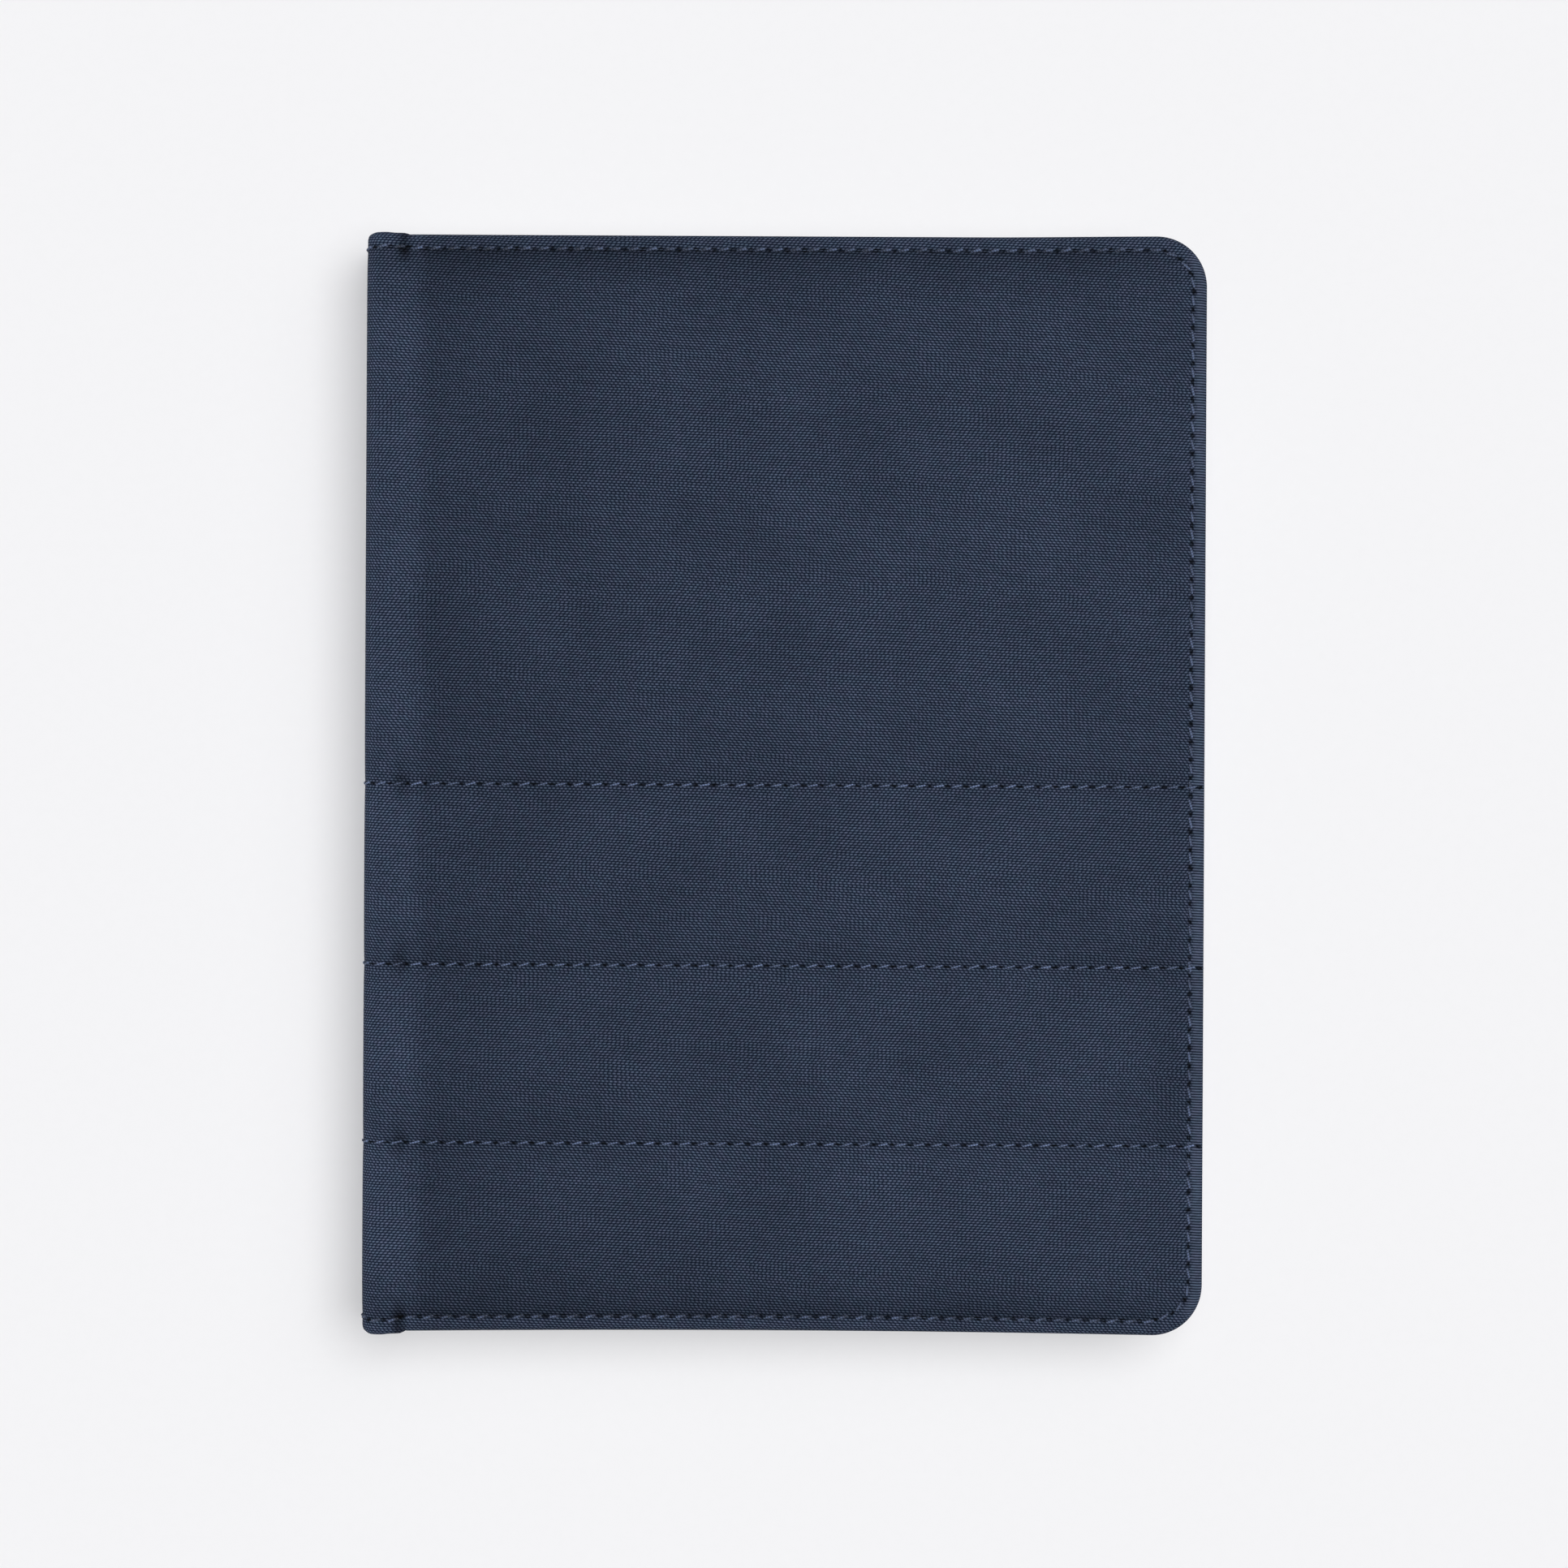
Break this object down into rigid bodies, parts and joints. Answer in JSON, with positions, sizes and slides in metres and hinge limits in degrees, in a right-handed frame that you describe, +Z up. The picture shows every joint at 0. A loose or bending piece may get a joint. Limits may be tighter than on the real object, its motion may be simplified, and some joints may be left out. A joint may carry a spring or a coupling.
{
  "type": "pilot logbook",
  "caption": "Padded cloth ring binder for a pilot's flight log, closed and lying flat, with quilted covers, a folding spine, ring mechanism, log leaves, index dividers and pockets.",
  "frame": {"origin": "on the surface that the closed book lies on, under the middle of the cover", "axes": "+Z up through the book from back cover to front cover; +Y towards the head of the book, along the spine; the spine is at -X and the fore edge at +X"},
  "size_m": [0.18, 0.235, 0.03],
  "materials": {
    "cloth": "plain-weave navy cloth",
    "lining": "smooth navy lining cloth",
    "foam": "thin padding",
    "board": "grey board",
    "steel": "bright nickel-plated steel",
    "paper": "uncoated ledger paper",
    "card": "smooth tinted card"
  },
  "bodies": {
    "back_cover": {"back_outer_cloth": "cloth", "back_foam_pad": "foam", "back_board": "board", "back_lining": "lining", "ring_cover_plate": "steel", "rivet_upper": "steel", "rivet_lower": "steel", "log_leaves_lower": "paper", "log_leaves_middle": "paper", "log_leaves_upper": "paper", "divider_lower": "card", "divider_middle": "card"},
    "spine": {"spine_outer_cloth": "cloth", "spine_foam_pad": "foam", "spine_board": "board", "spine_lining": "lining"},
    "front_cover": {"front_outer_cloth": "cloth", "front_foam_pad": "foam", "front_board": "board", "front_lining": "lining", "document_pocket": "lining", "card_slot_1": "lining", "card_slot_2": "lining", "card_slot_3": "lining"},
    "ring_bar_spine_side": {"ring_bar_spine_side": "steel"},
    "ring_bar_leaf_side": {"ring_bar_leaf_side": "steel"},
    "trigger_upper": {"trigger_upper": "steel"},
    "trigger_lower": {"trigger_lower": "steel"},
    "top_leaves": {"log_leaves_turning": "paper", "divider_front": "card"}
  },
  "joints": [
    {"name": "spine_fold", "type": "hinge", "parent": "back_cover", "child": "spine", "pos_m": [-0.08903, 0, 0.00097], "axis": [0, -1, 0], "range_deg": [0, 90]},
    {"name": "front_fold", "type": "hinge", "parent": "spine", "child": "front_cover", "pos_m": [-0.08903, 0, 0.02903], "axis": [0, -1, 0], "range_deg": [0, 90]},
    {"name": "leaf_turn", "type": "hinge", "parent": "back_cover", "child": "top_leaves", "pos_m": [-0.073, 0, 0.01426], "axis": [0, -1, 0], "range_deg": [0, 102]},
    {"name": "ring_spine_side", "type": "hinge", "parent": "back_cover", "child": "ring_bar_spine_side", "pos_m": [-0.0794, 0, 0.0059], "axis": [0, -1, 0], "range_deg": [0, 9]},
    {"name": "ring_leaf_side", "type": "hinge", "parent": "back_cover", "child": "ring_bar_leaf_side", "pos_m": [-0.0666, 0, 0.0059], "axis": [0, 1, 0], "range_deg": [0, 9]},
    {"name": "trigger_upper_press", "type": "hinge", "parent": "back_cover", "child": "trigger_upper", "pos_m": [-0.073, 0.1075, 0.0057], "axis": [-1, 0, 0], "range_deg": [0, 22]},
    {"name": "trigger_lower_press", "type": "hinge", "parent": "back_cover", "child": "trigger_lower", "pos_m": [-0.073, -0.1075, 0.0057], "axis": [1, 0, 0], "range_deg": [0, 22]}
  ],
  "couplings": [
    {"joint": "leaf_turn", "follows": "spine_fold", "ratio": 1.13},
    {"joint": "ring_leaf_side", "follows": "ring_spine_side", "ratio": 1},
    {"joint": "trigger_upper_press", "follows": "ring_spine_side", "ratio": 2.44},
    {"joint": "trigger_lower_press", "follows": "ring_spine_side", "ratio": 2.44}
  ]
}
